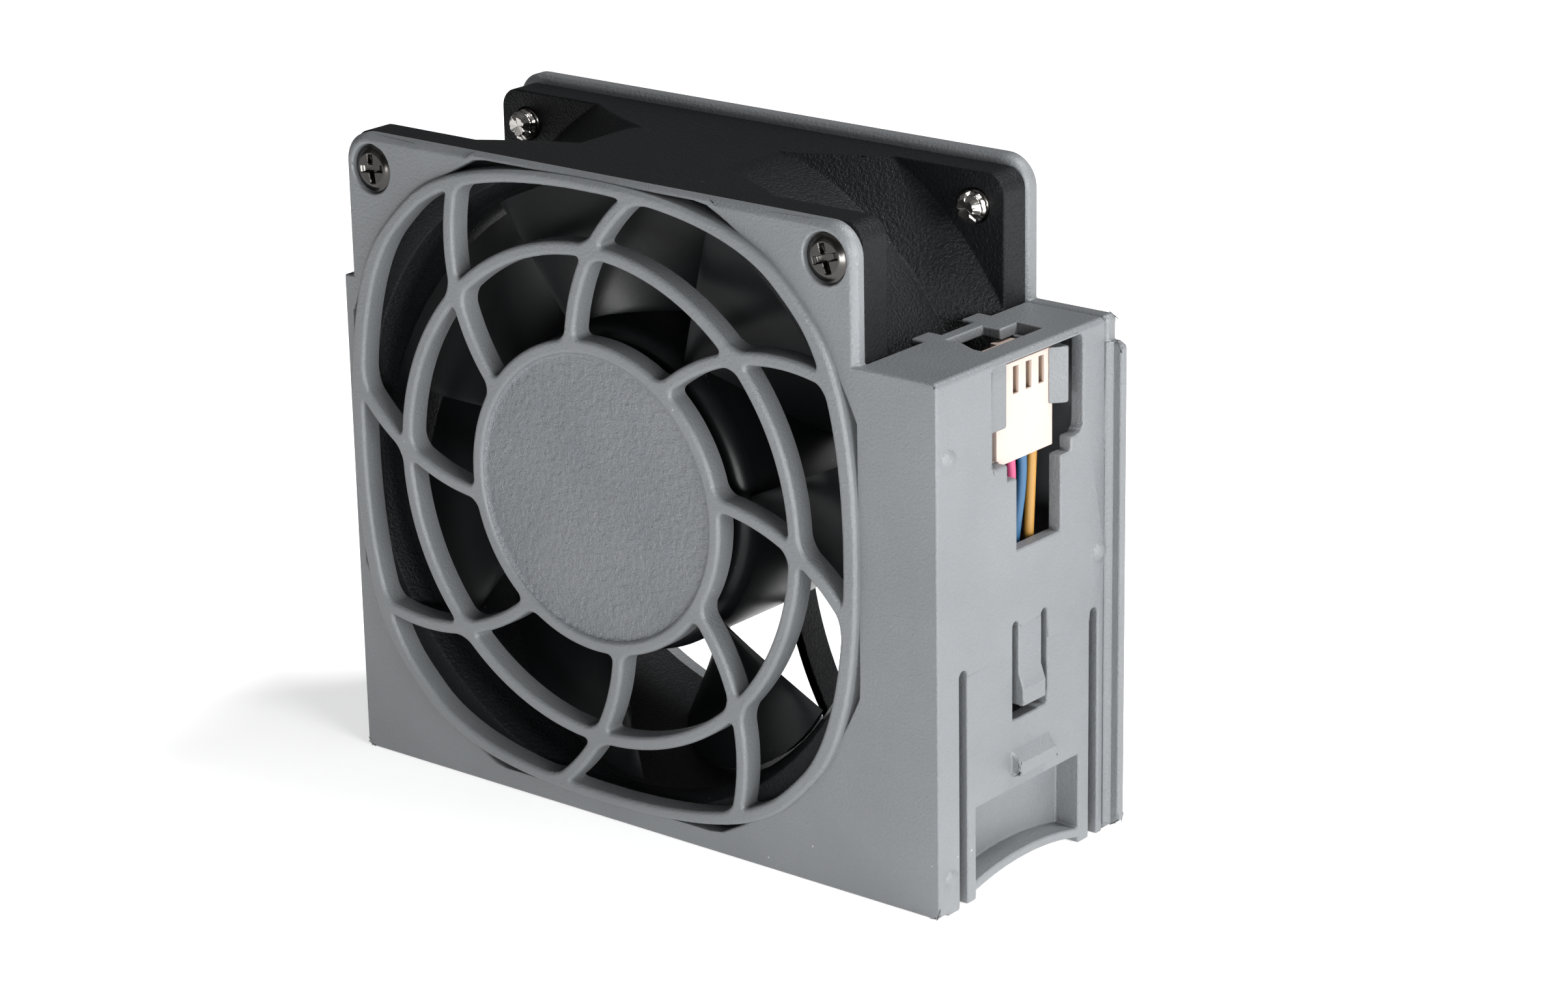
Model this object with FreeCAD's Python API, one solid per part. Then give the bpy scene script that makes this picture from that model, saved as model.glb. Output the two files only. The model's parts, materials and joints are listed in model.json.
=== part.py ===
# Server fan module: an 80 mm axial fan screwed into a grey moulded cradle with a spiral
# finger guard, a connector bay, a flexing latch and a slide rail. Millimetres.
#
# Every shape is drawn in the fan's own frame: the rotor axis is the Y axis, Y = 0 is the
# face of the front plate, +Y is the air's way out, X runs to the right, Z up. save() then
# moves it to the row's frame, whose origin is the middle of the bottom.
import FreeCAD, Part
import math
import os

V = FreeCAD.Vector

# cradle
PLATE_HALF = 40.15      # half width of the front plate above the connector bay
FRONT_T = 1.9           # front plate thickness
REAR_T = 2.2            # rear plate thickness
LEFT_X = -41.3          # outer face of the left wall
RIGHT_X = 51.6          # outer face of the connector bay
RAIL_X = 53.3           # outer face of the slide rail
BASE_Z = -42.2          # underside
BAY_TOP = 23.6          # top of the connector bay
REAR_TOP = 41.15        # top of the rear plate
STEP_Z = 21.4           # where the left wall starts
SIDE_T = 1.9            # bay side wall
ROOF_T = 1.3            # bay top wall
CORNER_R = 4.0          # plate corners

# finger guard
PROUD = 0.9             # height of the ribs above the plate
FLAT_HALF = 39.2        # flats of the opening
ROUND_R = 42.5          # round part of the opening
RIM_W = 1.8             # width of the raised rim
RING_R = 31.1           # middle of the guard's ring
RIB_W = 1.75            # width of ring and spokes
HUB_R = 19.9            # guard's hub disc
HUB_FLOOR_R = 18.2      # its sunk floor
SPOKES = 8
SPOKE_PATH = ((19.0, 54.6), (31.1, 44.0), (43.9, 27.9))   # radius, degrees

# fan
FAN_HALF = 40.0
FAN_DEPTH = 31.4
FLANGE_T = 4.4
BORE_R = 38.5
DUCT_R = 41.6
SCREW_AT = 35.75        # half of the 71.5 mm hole spacing
BLADES = 7
BLADE_TIP_R = 37.9
ROTOR_R = 20.9
STRUTS = 6
STRUT_ANGLE = -9.0
SHAFT_R = 1.5

# latch
SLOT_FRONT = (4.2, 5.72)        # Y of the long slot in front of the arm
SLOT_REAR = (30.44, 32.09)      # Y of the long slot behind it
ARM_ROOT_Z = -13.2
ARM_FOOT_Z = -42.05
FINGER_ROOT_Z = -10.0
FINGER_Y = (15.89, 20.49)
FINGER_SLOT_Y = (14.72, 21.68)
FINGER_SLOT_Z = -21.6
FLEX_GAP = 0.05

# connector and wires
PITCH = 2.54
FIRST_WAY_Y = 14.71
WIRE_R = 0.62
WIRE_X = 49.0
MOUTH_X = 44.5
TROUGH_Y = 29.64

FAN_FRONT = FRONT_T
FAN_REAR = FRONT_T + FAN_DEPTH
REAR = FAN_REAR + REAR_T
INNER_X = RIGHT_X - SIDE_T
SHIFT = V(-(LEFT_X + RAIL_X) / 2, -(REAR - PROUD) / 2, -BASE_Z)


def save(name, shape):
    moved = shape.copy()
    moved.translate(SHIFT)
    moved.exportStep("parts/" + name + ".step")
    print(name, len(moved.Solids), "solids, valid", moved.isValid(), "volume", round(moved.Volume, 1))


def box(low, high):
    size = [b - a for a, b in zip(low, high)]
    return Part.makeBox(size[0], size[1], size[2], V(*low))


def rod(radius, y0, y1, x=0.0, z=0.0):
    return Part.makeCylinder(radius, y1 - y0, V(x, y0, z), V(0, 1, 0))


def tube(outer, inner, y0, y1, x=0.0, z=0.0):
    return rod(outer, y0, y1, x, z).cut(rod(inner, y0, y1, x, z))


def polar(radius, degrees, y=0.0):
    a = math.radians(degrees)
    return V(radius * math.cos(a), y, radius * math.sin(a))


def turned(shape, degrees):
    # Turned about the rotor axis, so that the angle grows from X towards Z.
    copy = shape.copy()
    copy.rotate(V(0, 0, 0), V(0, -1, 0), degrees)
    return copy


def rounded_wire(corners):
    # Closed wire through 3D corners (x, y, z, radius), each corner rounded by its radius.
    edges = []
    starts = []
    ends = []
    count = len(corners)
    for i in range(count):
        here = V(*corners[i][:3])
        radius = corners[i][3]
        back = (V(*corners[i - 1][:3]) - here).normalize()
        ahead = (V(*corners[(i + 1) % count][:3]) - here).normalize()
        if radius == 0:
            starts.append(here)
            ends.append(here)
            continue
        half = back.getAngle(ahead) / 2
        run = radius / math.tan(half)
        middle = here + (back + ahead).normalize() * (radius / math.sin(half) - radius)
        starts.append(here + back * run)
        ends.append(here + ahead * run)
        edges.append(Part.Arc(starts[i], middle, ends[i]).toShape())
    for i in range(count):
        following = starts[(i + 1) % count]
        if (following - ends[i]).Length > 1e-6:
            edges.append(Part.LineSegment(ends[i], following).toShape())
    return Part.Wire(Part.__sortEdges__(edges))


def plate(corners, y0, y1):
    # Flat plate from (x, z, radius) corners, between two depths.
    wire = rounded_wire([(x, y0, z, r) for x, z, r in corners])
    return Part.Face(wire).extrude(V(0, y1 - y0, 0))


def side_cut(corners, x0, x1):
    # Prism along X from (y, z, radius) corners.
    wire = rounded_wire([(x0, y, z, r) for y, z, r in corners])
    return Part.Face(wire).extrude(V(x1 - x0, 0, 0))


def lying(corners, z0, z1):
    # Prism along Z from (x, y, radius) corners.
    wire = rounded_wire([(x, y, z0, r) for x, y, r in corners])
    return Part.Face(wire).extrude(V(0, 0, z1 - z0))


def clipped_round(radius, flat, y0, y1):
    # A disc cut by four flats, the shape of the opening and its rim.
    return rod(radius, y0, y1).common(box((-flat, y0, -flat), (flat, y1, flat)))


def spoke(width, y0, y1):
    # One curved spoke: two concentric arcs either side of the path through three points.
    path = Part.Circle(*[polar(r, a, y0) for r, a in SPOKE_PATH])
    centre = path.Center
    sides = []
    for offset in (-width / 2, width / 2):
        points = []
        for r, a in SPOKE_PATH:
            away = polar(r, a, y0) - centre
            points.append(centre + away.normalize() * (path.Radius + offset))
        sides.append(points)
    edges = [Part.Arc(*sides[0]).toShape(),
             Part.LineSegment(sides[0][2], sides[1][2]).toShape(),
             Part.Arc(*reversed(sides[1])).toShape(),
             Part.LineSegment(sides[1][0], sides[0][0]).toShape()]
    return Part.Face(Part.Wire(edges)).extrude(V(0, y1 - y0, 0))


def edges_at(shape, y, test):
    # Edges lying in the plane Y = y whose middle passes the test.
    found = []
    for edge in shape.Edges:
        heights = [v.Point.y for v in edge.Vertexes] + [edge.CenterOfMass.y]
        if max(abs(h - y) for h in heights) < 1e-4 and test(edge.CenterOfMass):
            found.append(edge)
    return found


def rim_outline(y0, y1):
    wide = FLAT_HALF + RIM_W
    tall = PLATE_HALF
    return rod(ROUND_R + RIM_W, y0, y1).common(box((-wide, y0, -tall), (wide, y1, tall)))


def guard():
    # Rim, ring, eight spiral spokes and hub disc as one web.
    outside = rim_outline(-PROUD, FRONT_T)
    web = outside.cut(clipped_round(ROUND_R, FLAT_HALF, -PROUD, FRONT_T))
    web = web.fuse(tube(RING_R + RIB_W / 2, RING_R - RIB_W / 2, -PROUD, FRONT_T))
    web = web.fuse(rod(HUB_R, -PROUD, FRONT_T))
    one = spoke(RIB_W, -PROUD, FRONT_T)
    for i in range(SPOKES):
        web = web.fuse(turned(one, i * 360.0 / SPOKES))
    web = web.common(outside).removeSplitter()
    return web.cut(rod(HUB_FLOOR_R, -PROUD, -PROUD + 0.6))


def pip(y, z):
    # Low dome on the bay's side.
    dome = Part.makeSphere(2.1, V(RIGHT_X - 1.6, y, z))
    return dome.common(box((RIGHT_X - 0.5, y - 3, z - 3), (RIGHT_X + 1, y + 3, z + 3)))


def bay_section(y0, y1):
    # Roof and side wall of the connector bay, rounded along their shared outer edge.
    outer = [(PLATE_HALF, BASE_Z, 0), (RIGHT_X, BASE_Z, 0), (RIGHT_X, BAY_TOP, 0.8), (PLATE_HALF, BAY_TOP, 0)]
    inner = box((PLATE_HALF, y0, BASE_Z), (INNER_X, y1, BAY_TOP - ROOF_T))
    return plate(outer, y0, y1).cut(inner)


def long_slot(ys):
    # Slot open at the foot, round at the top.
    y0, y1 = ys
    half = (y1 - y0) / 2
    top = ARM_ROOT_Z + 0.8
    return side_cut([(y0, BASE_Z - 1, 0), (y1, BASE_Z - 1, 0), (y1, top, half * 0.98), (y0, top, half * 0.98)],
                    INNER_X - 1, RIGHT_X + 1)


def screw_seat(x, z, y, sign):
    # Flat-bottomed recess and clearance hole; sign +1 opens towards -Y, -1 towards +Y.
    seat = Part.makeCylinder(3.15, 1.0, V(x, y, z), V(0, sign, 0))
    hole = Part.makeCylinder(2.25, 6.0, V(x, y, z), V(0, sign, 0))
    return seat.fuse(hole)


def front_grille():
    corners = [(LEFT_X, BASE_Z, 1.0), (RIGHT_X, BASE_Z, 0.8), (RIGHT_X, BAY_TOP, 0.8), (PLATE_HALF, BAY_TOP, 0),
               (PLATE_HALF, PLATE_HALF, CORNER_R), (-PLATE_HALF, PLATE_HALF, CORNER_R),
               (-PLATE_HALF, STEP_Z, 0), (LEFT_X, STEP_Z, 0)]
    face = plate(corners, 0, FRONT_T)
    upper = edges_at(face, 0, lambda p: p.z > BAY_TOP + 1)
    face = face.makeChamfer(0.6, upper)
    strip = bay_section(FRONT_T, SLOT_FRONT[1]).cut(long_slot(SLOT_FRONT))
    face = face.fuse(strip)
    face = face.cut(clipped_round(ROUND_R, FLAT_HALF, -PROUD, FRONT_T))
    for x in (-SCREW_AT, SCREW_AT):
        face = face.cut(screw_seat(x, SCREW_AT, 0, 1))
    whole = face.fuse(guard()).fuse(pip(2.28, 14.08)).fuse(pip(2.37, -37.68))
    return whole


def left_wall():
    return box((LEFT_X, FRONT_T, BASE_Z), (-FAN_HALF, FAN_REAR, STEP_Z))


def floor_plate():
    # Under the fan and part of the bay; the latch arm swings in behind its right edge.
    return box((-FAN_HALF, FRONT_T, BASE_Z), (42.8, FAN_REAR, -FAN_HALF))


def bay_window():
    # Opening in the side wall that shows the connector and its wires.
    return side_cut([(10.8, 22.75, 0.6), (28.8, 22.75, 1.0), (28.8, 10.5, 1.2), (26.4, 10.5, 0),
                     (26.4, 8.8, 0), (24.3, 8.8, 0), (24.3, -0.55, 0), (15.56, -0.55, 0),
                     (15.56, 8.4, 0), (13.7, 8.4, 0), (13.7, 10.5, 0), (10.8, 10.5, 0.8)],
                    INNER_X - 1, RIGHT_X + 1)


def mating_hole():
    # Stepped hole in the roof above the connector's mating face.
    return lying([(41.85, 15.0, 0), (41.85, 22.0, 0), (44.45, 22.0, 0), (44.45, 25.35, 0),
                  (48.1, 25.35, 0), (48.1, 13.8, 0), (46.8, 13.8, 0), (44.3, 15.0, 0)], 20, 26)


def front_hook():
    # Lip that holds the connector's front edge, set back from the wall's outer face.
    return lying([(50.8, 10.8, 0), (50.8, 14.6, 0), (50.2, 14.6, 0), (50.2, 12.95, 0),
                  (INNER_X, 12.35, 0), (INNER_X, 10.8, 0)], 14.6, BAY_TOP - 0.7)


def rear_hook():
    # Springy tongue behind the connector with a slanted nose over its face.
    nose = lying([(50.2, 23.5, 0), (51.75, 25.3, 0), (51.75, 25.6, 0), (50.2, 26.0, 0)], 15.1, 22.0)
    tongue = lying([(44.5, 24.55, 0), (50.2, 24.55, 0), (50.2, 26.0, 0), (44.5, 25.7, 0)], 15.1, 22.0)
    root = box((44.5, 24.55, 22.0), (48.5, 25.7, BAY_TOP - ROOF_T))
    return nose.fuse(tongue).fuse(root)


def finger_slot(z0, z1):
    y0, y1 = FINGER_SLOT_Y
    return box((INNER_X - 1, y0, z0), (RIGHT_X + 1, y1, z1))


def bay_finger_slots():
    # Upper ends of the two slots beside the spring finger, round at the top.
    cut = finger_slot(ARM_ROOT_Z - 1, FINGER_ROOT_Z)
    for y0, y1 in ((FINGER_SLOT_Y[0], FINGER_Y[0]), (FINGER_Y[1], FINGER_SLOT_Y[1])):
        half = (y1 - y0) / 2
        leg = side_cut([(y0, ARM_ROOT_Z, 0), (y1, ARM_ROOT_Z, 0), (y1, FINGER_ROOT_Z + 0.6, half * 0.98),
                        (y0, FINGER_ROOT_Z + 0.6, half * 0.98)], INNER_X - 1, RIGHT_X + 1)
        cut = cut.fuse(leg)
    return cut


def connector_bay():
    # Middle of the bay: roof with the mating hole and two small tabs, side wall with the
    # window, the connector's hooks, and the notch that the latch arm hangs in.
    y0, y1 = SLOT_FRONT[1], SLOT_REAR[0]
    bay = bay_section(y0, y1)
    bay = bay.cut(box((INNER_X - 1, y0, BASE_Z - 1), (RIGHT_X + 1, y1, ARM_ROOT_Z)))
    bay = bay.cut(bay_finger_slots()).cut(bay_window()).cut(mating_hole())
    bay = bay.fuse(front_hook()).fuse(rear_hook())
    for a, b in ((12.8, 16.4), (22.6, 26.2)):
        bay = bay.fuse(box((38.2, a, BAY_TOP - 0.9), (PLATE_HALF, b, BAY_TOP)))
    return bay.removeSplitter()


def slide_rail():
    # Vertical rail on the rear corner with a hollow fillet to the side and cut corners.
    z0, z1 = -41.3, 20.45
    profile = [V(RIGHT_X - 0.5, 32.6, 0), V(RIGHT_X, 32.6, 0), V(52.15, 34.3, 0), V(RAIL_X, 34.3, 0),
               V(RAIL_X, REAR, 0), V(RIGHT_X - 0.5, REAR, 0)]
    hollow = Part.Arc(profile[1], V(51.72, 33.7, 0), profile[2]).toShape()
    edges = [Part.LineSegment(profile[0], profile[1]).toShape(), hollow]
    for a, b in zip(profile[2:], profile[3:] + profile[:1]):
        edges.append(Part.LineSegment(a, b).toShape())
    rail = Part.Face(Part.Wire(edges)).extrude(V(0, 0, z1 - z0))
    rail.translate(V(0, 0, z0))
    sides = plate([(RIGHT_X - 1, z0, 0), (RAIL_X, z0, 0.9), (RAIL_X, z1 - 0.5, 0.9), (52.3, z1, 0.3),
                   (RIGHT_X - 1, z1, 0)], 30, REAR)
    return rail.common(sides)


def rear_frame():
    # Rear plate with the round outlet, the bay's rear wall and side strip, and the rail.
    corners = [(LEFT_X, BASE_Z, 1.0), (RIGHT_X, BASE_Z, 0.8), (RIGHT_X, BAY_TOP, 0.8), (PLATE_HALF, BAY_TOP, 0),
               (PLATE_HALF, REAR_TOP, CORNER_R), (LEFT_X, REAR_TOP, CORNER_R)]
    frame = plate(corners, FAN_REAR, REAR)
    bead = edges_at(frame, FAN_REAR, lambda p: p.z > BAY_TOP + 1)
    frame = frame.makeChamfer(0.6, bead)
    frame = frame.cut(rod(BORE_R + 0.3, FAN_REAR, REAR))
    frame = frame.fuse(bay_section(SLOT_REAR[0], FAN_REAR)).cut(long_slot(SLOT_REAR))
    for x in (-SCREW_AT, SCREW_AT):
        frame = frame.cut(screw_seat(x, SCREW_AT, REAR, -1))
    return frame.fuse(slide_rail()).fuse(pip(32.28, -5.4)).removeSplitter()


def arm_outline():
    # Latch arm seen from the side: the arched lip between two feet closes the pocket.
    y0, y1 = SLOT_FRONT[1], SLOT_REAR[0]
    top = ARM_ROOT_Z - FLEX_GAP
    points = [(y0, top), (y1, top), (y1, ARM_FOOT_Z), (28.2, ARM_FOOT_Z), (28.2, -41.3)]
    left = [(7.4, -40.9), (7.4, ARM_FOOT_Z), (y0, ARM_FOOT_Z)]
    edges = []
    for a, b in zip(points[:-1], points[1:]):
        edges.append(Part.LineSegment(V(INNER_X, a[0], a[1]), V(INNER_X, b[0], b[1])).toShape())
    arch = [V(INNER_X, *points[-1]), V(INNER_X, 17.0, -39.8), V(INNER_X, *left[0])]
    edges.append(Part.Arc(*arch).toShape())
    for a, b in zip(left, left[1:] + points[:1]):
        edges.append(Part.LineSegment(V(INNER_X, a[0], a[1]), V(INNER_X, b[0], b[1])).toShape())
    return Part.Face(Part.Wire(edges))


def pocket_outline():
    # Finger pocket: square at the top, following the arch at the foot.
    x = 40.0
    corners = [V(x, 7.4, -39.7), V(x, 7.4, -30.4), V(x, 28.2, -30.4), V(x, 28.2, -40.1)]
    edges = [Part.LineSegment(a, b).toShape() for a, b in zip(corners[:-1], corners[1:])]
    edges.append(Part.Arc(corners[3], V(x, 17.0, -38.65), corners[0]).toShape())
    return Part.Face(Part.Wire(edges))


def latch_arm():
    # Flexing side arm with a finger pocket, a catch wedge and the slot of the spring finger.
    back_x = 48.15
    arm = arm_outline().extrude(V(SIDE_T, 0, 0))
    shell = arm_outline().extrude(V(-(INNER_X - back_x + 1.1), 0, 0))
    shell = shell.common(box((40, 5.9, ARM_FOOT_Z), (INNER_X, 30.2, -29.3)))
    arm = arm.fuse(shell)
    pocket = pocket_outline().extrude(V(20, 0, 0)).common(box((back_x, 0, -50), (60, 40, 0)))
    arm = arm.cut(pocket)
    wedge = plate([(RIGHT_X - 0.5, -25.3, 0), (RIGHT_X, -25.3, 0), (52.95, -26.7, 0.15), (53.1, -28.2, 0.15),
                   (RIGHT_X - 0.5, -28.2, 0)], 14.33, 21.75)
    return arm.cut(finger_slot(FINGER_SLOT_Z, ARM_ROOT_Z + 1)).fuse(wedge)


def spring_finger():
    # Thin tongue with a ramped nose that presses on the slot it slides in.
    top = FINGER_ROOT_Z - FLEX_GAP
    profile = [(50.3, top, 0), (RIGHT_X, top, 0), (RIGHT_X, -16.0, 0), (52.25, -17.9, 0.2),
               (52.25, -20.1, 0.2), (50.3, -20.1, 0)]
    return plate(profile, *FINGER_Y)


def fan_frame():
    # Two square flanges joined by a duct that flares into them, flat where it meets the
    # frame's sides; motor base on curved struts; a trough for the wires; screw posts.
    half = FAN_HALF
    square = [(-half, -half, 2.5), (half, -half, 2.5), (half, half, 2.5), (-half, half, 2.5)]
    front = plate(square, FAN_FRONT, FAN_FRONT + FLANGE_T)
    rear = plate(square, FAN_REAR - FLANGE_T, FAN_REAR)
    profile = [(0, FAN_FRONT), (47.6, FAN_FRONT), (47.6, 4.7), (DUCT_R, 12.5), (DUCT_R, 23.0), (46.4, 29.0),
               (46.4, FAN_REAR), (0, FAN_REAR)]
    wire = Part.makePolygon([V(r, y, 0) for r, y in profile + profile[:1]])
    duct = Part.Face(wire).revolve(V(0, 0, 0), V(0, 1, 0), 360)
    duct = duct.common(plate(square, FAN_FRONT, FAN_REAR))
    body = front.fuse(rear).fuse(duct)
    for x in (-SCREW_AT, SCREW_AT):
        for z in (-SCREW_AT, SCREW_AT):
            body = body.fuse(rod(2.5, FAN_FRONT, 8.9, x, z))
    body = body.cut(bell_mouth())
    for x in (-SCREW_AT, SCREW_AT):
        body = body.cut(rod(2.1, FAN_FRONT, 8.9, x, SCREW_AT))
        body = body.cut(rod(2.1, FAN_REAR - FLANGE_T, FAN_REAR, x, SCREW_AT))
    body = body.fuse(motor_base())
    return body.cut(wire_trough()).removeSplitter()


def bell_mouth():
    # Bore with a tapered inlet.
    taper = Part.makeCone(BORE_R + 1.4, BORE_R, 2.6, V(0, FAN_FRONT, 0), V(0, 1, 0))
    return taper.fuse(rod(BORE_R, FAN_FRONT + 2.6, FAN_REAR))


def strut(y0, y1):
    # Flow-straightening strut, a slim strip with a slight bend.
    points = [V(18.5, y0, -0.7), V(29.0, y0, -1.9), V(BORE_R + 0.6, y0, -0.7)]
    other = [V(p.x, p.y, p.z + 1.4) for p in reversed(points)]
    edges = [Part.Arc(*points).toShape(), Part.LineSegment(points[2], other[0]).toShape(),
             Part.Arc(*other).toShape(), Part.LineSegment(other[2], points[0]).toShape()]
    return Part.Face(Part.Wire(edges)).extrude(V(0, y1 - y0, 0))


def motor_base():
    # Round base that the motor stands on, five struts and the trough as the sixth.
    base = tube(20.0, 5.4, 29.0, 32.6)
    for i in range(1, STRUTS):
        base = base.fuse(turned(strut(28.0, 32.6), STRUT_ANGLE + i * 360.0 / STRUTS))
    trough = box((14, 28.2, -3.5), (BORE_R + 0.5, 32.6, 3.5)).cut(rod(18.0, 27, 29.0))
    return base.fuse(turned(trough, STRUT_ANGLE))


def wire_trough():
    # Channel from the motor's circuit board through the duct wall to the outside.
    channel = box((11.0, 29.0, -2.7), (45, 34, 2.7)).fuse(box((37.5, 28.5, -2.7), (45, 34, 2.7)))
    return turned(channel, STRUT_ANGLE)


def blade_section(distance):
    # Closed section of a blade in the plane at this distance from the axis: two arcs and
    # two blunt ends. The leading edge is at the front, ahead in the turning direction.
    front = V(7.2 + 0.907 * (distance - 17.0), 4.6, 0)
    back = V(-3.7 - 1.18 * (distance - 17.0), 25.8, 0)
    chord = back - front
    normal = V(-chord.y, chord.x, 0).normalize()
    if normal.y > 0:
        normal = normal * -1
    middle = (front + back) * 0.5 + normal * (0.07 * chord.Length)
    thick = 0.85
    blunt = 0.28
    a0, a1 = front + normal * blunt, back + normal * blunt
    b0, b1 = front - normal * blunt, back - normal * blunt
    edges = []
    for start, via, end in ((a0, middle + normal * thick, a1), (b1, middle - normal * thick, b0)):
        edges.append(Part.Arc(*[V(distance, p.y, p.x) for p in (start, via, end)]).toShape())
    joins = ((a1, b1), (b0, a0))
    for k, (p, q) in enumerate(joins):
        edges.insert(1 + 2 * k, Part.LineSegment(V(distance, p.y, p.x), V(distance, q.y, q.x)).toShape())
    return Part.Wire(edges)


def impeller():
    # Hub cup with seven twisted blades lofted from hub to tip.
    cup = [(0, 3.6), (19.2, 3.6), (20.4, 4.4), (ROTOR_R, 5.9), (ROTOR_R, 26.8), (19.4, 26.8), (19.4, 5.0),
           (3.4, 5.0), (3.4, 8.5), (SHAFT_R, 8.5), (SHAFT_R, 4.6), (0, 4.6)]
    outline = Part.makePolygon([V(r, y, 0) for r, y in cup + cup[:1]])
    hub = Part.Face(outline).revolve(V(0, 0, 0), V(0, 1, 0), 360)
    blade = Part.makeLoft([blade_section(d) for d in (17.0, 44.0)], True, True)
    blade = blade.common(tube(BLADE_TIP_R, 20.2, 3, 28))
    for i in range(BLADES):
        hub = hub.fuse(turned(blade, 86.0 + i * 360.0 / BLADES))
    return hub


def rotor_yoke():
    # Steel band round the magnet.
    return tube(19.4, 18.6, 5.0, 26.2)


def stator_core():
    # Four T-shaped teeth on a square hub.
    core = box((-6.8, 12.0, -6.8), (6.8, 22.0, 6.8))
    shoe = rod(15.8, 12.0, 22.0).common(box((13.2, 12.0, -9.4), (16, 22.0, 9.4)))
    tooth = box((6.8, 12.0, -2.0), (13.2, 22.0, 2.0)).fuse(shoe)
    for i in range(4):
        core = core.fuse(turned(tooth, 90.0 * i))
    return core.cut(rod(5.4, 12.0, 22.0)).removeSplitter()


def stator_coils():
    coils = []
    for i in range(4):
        coil = box((7.9, 10.2, -4.4), (12.9, 23.8, 4.4)).cut(box((7, 12.0, -2.0), (14, 22.0, 2.0)))
        coil = coil.common(plate([(2.6, -3, 0), (13.6, -14, 0), (13.6, 14, 0), (2.6, 3, 0)], 10, 24))
        coils.append(turned(coil, 90.0 * i))
    return Part.makeCompound(coils)


def motor_board():
    # Eight-sided circuit board round the bearing tube.
    corners = [(15.6 * math.cos(math.radians(a)), 15.6 * math.sin(math.radians(a)), 0) for a in range(0, 360, 45)]
    return plate(corners, 27.8, 29.0).cut(rod(5.4, 27.8, 29.0))


def screw(x, z, y, sign, length):
    # Low head in its recess and a plain shank.
    head = Part.makeCylinder(2.95, 0.9, V(x, y + sign * 0.1, z), V(0, sign, 0))
    shank = Part.makeCylinder(2.05, length - 1.0, V(x, y + sign * 1.0, z), V(0, sign, 0))
    return head.fuse(shank)


def screws(y, sign, length):
    return Part.makeCompound([screw(x, SCREW_AT, y, sign, length) for x in (-SCREW_AT, SCREW_AT)])


def way_y(k):
    return FIRST_WAY_Y + PITCH * k


def connector_housing():
    # Four-way crimp housing standing on end: ways open at the top, wires leave below; one
    # lower corner is notched to clear the window's edge.
    body = box((43.6, 13.41, 9.9), (50.2, 24.5, 21.95)).cut(box((49.6, 13.0, 9.0), (51.0, 13.75, 10.6)))
    for k in range(4):
        y = way_y(k)
        body = body.cut(box((47.2, y - 0.95, 9.0), (49.7, y + 0.95, 23.0)))
        body = body.cut(box((48.5, y - 0.57, 18.0), (51.0, y + 0.57, 21.35)))
    return body.cut(box((43.0, 15.85, 19.0), (44.6, 21.15, 23.0)))


def connector_terminals():
    pins = []
    for k in range(4):
        y = way_y(k)
        shell = box((47.4, y - 0.8, 14.0), (49.2, y + 0.8, 20.9)).cut(box((47.9, y - 0.35, 15.5), (48.7, y + 0.35, 21)))
        pins.append(shell)
    return Part.makeCompound(pins)


def wire_path(k, level, turns):
    # From the terminal down, slantwise back to the trough's mouth and along the trough.
    along = V(math.cos(math.radians(STRUT_ANGLE)), 0, math.sin(math.radians(STRUT_ANGLE)))
    across = V(-along.z, 0, along.x)
    mouth = along * (MOUTH_X / along.x) + across * level + V(0, TROUGH_Y, 0)
    inner = along * 13.0 + across * level + V(0, TROUGH_Y, 0)
    return [V(WIRE_X, way_y(k), 14.0)] + [V(*p) for p in turns] + [mouth, inner]


def wire(points):
    # Wire along straight runs joined by tangent arcs, with an eight-sided section.
    edges = []
    here = points[0]
    for i in range(1, len(points) - 1):
        back = points[i - 1] - points[i]
        ahead = points[i + 1] - points[i]
        run = 0.45 * min(back.Length, ahead.Length)
        half = back.getAngle(ahead) / 2
        radius = run * math.tan(half)
        back.normalize()
        ahead.normalize()
        start, end = points[i] + back * run, points[i] + ahead * run
        middle = points[i] + (back + ahead).normalize() * (radius / math.sin(half) - radius)
        edges.append(Part.LineSegment(here, start).toShape())
        edges.append(Part.Arc(start, middle, end).toShape())
        print("  bend radius", round(radius, 2))
        here = end
    edges.append(Part.LineSegment(here, points[-1]).toShape())
    path = Part.Wire(edges)
    heading = (points[1] - points[0]).normalize()
    side = heading.cross(V(0, 1, 0)).normalize()
    other = heading.cross(side)
    corners = []
    for k in range(9):
        a = math.radians(45 * k + 22.5)
        corners.append(points[0] + side * (WIRE_R * math.cos(a)) + other * (WIRE_R * math.sin(a)))
    section = Part.makePolygon(corners)
    solid = path.makePipe(Part.Face(section))
    area = Part.Face(section).Area
    print("  volume over section times length", round(solid.Volume / (area * path.Length), 4))
    return solid


os.makedirs("parts", exist_ok=True)
save("front_grille", front_grille())
save("left_wall", left_wall())
save("floor_plate", floor_plate())
save("connector_bay", connector_bay())
save("rear_frame", rear_frame())
save("latch_arm", latch_arm())
save("spring_finger", spring_finger())
save("fan_frame", fan_frame())
save("impeller", impeller())
save("rotor_yoke", rotor_yoke())
save("rotor_magnet", tube(18.6, 16.5, 9.0, 25.0))
save("shaft", rod(SHAFT_R, 4.6, 30.6))
save("shaft_clip", tube(3.0, SHAFT_R, 29.4, 29.9))
save("bearing_tube", tube(5.4, 4.5, 9.5, 31.0))
save("bearing_front", tube(4.5, SHAFT_R + 0.05, 10.4, 13.4))
save("bearing_rear", tube(4.5, SHAFT_R + 0.05, 26.2, 29.2))
save("bearing_cap", rod(5.4, 31.0, 31.6))
save("stator_core", stator_core())
save("stator_coils", stator_coils())
save("motor_board", motor_board())
save("front_screws", screws(0, 1, 8.2))
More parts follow.
